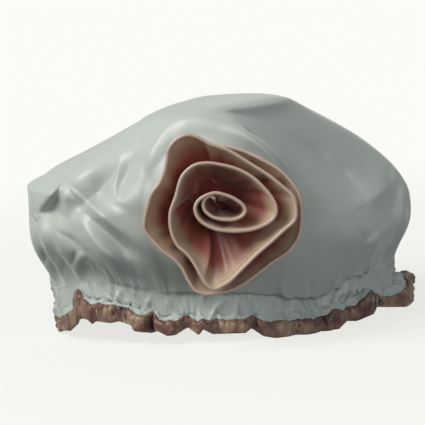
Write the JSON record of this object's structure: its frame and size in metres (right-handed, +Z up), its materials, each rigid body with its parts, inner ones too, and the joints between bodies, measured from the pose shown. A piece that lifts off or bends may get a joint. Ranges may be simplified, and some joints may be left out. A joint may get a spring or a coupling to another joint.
{
  "type": "shower cap",
  "caption": "Lined satin shower cap with a rolled satin rose on the front, gathered on elastic, with a ruffle bound in dusty pink tape",
  "frame": {"origin": "middle of the oval mouth, on the plane that the bound hem stands on", "axes": "+Z up through the crown, -Y toward the rose on the front, +X to the right of a viewer who faces the rose"},
  "size_m": [0.241, 0.2247, 0.141],
  "materials": {
    "white_satin": "satin",
    "pink_lining": "satin",
    "elastic": "matte",
    "white_thread": "matte",
    "rose_satin": "satin",
    "pink_thread": "matte",
    "pink_felt": "matte"
  },
  "bodies": {
    "root": {"outer_crown": "white_satin", "lining": "pink_lining", "elastic_band": "elastic", "elastic_join_thread": "white_thread", "channel_thread_upper": "white_thread", "channel_thread_lower": "white_thread", "edge_binding": "rose_satin", "binding_thread": "pink_thread", "rose_backing": "pink_felt", "rose_whip_thread": "pink_thread", "rose_strip": "rose_satin"}
  },
  "joints": []
}
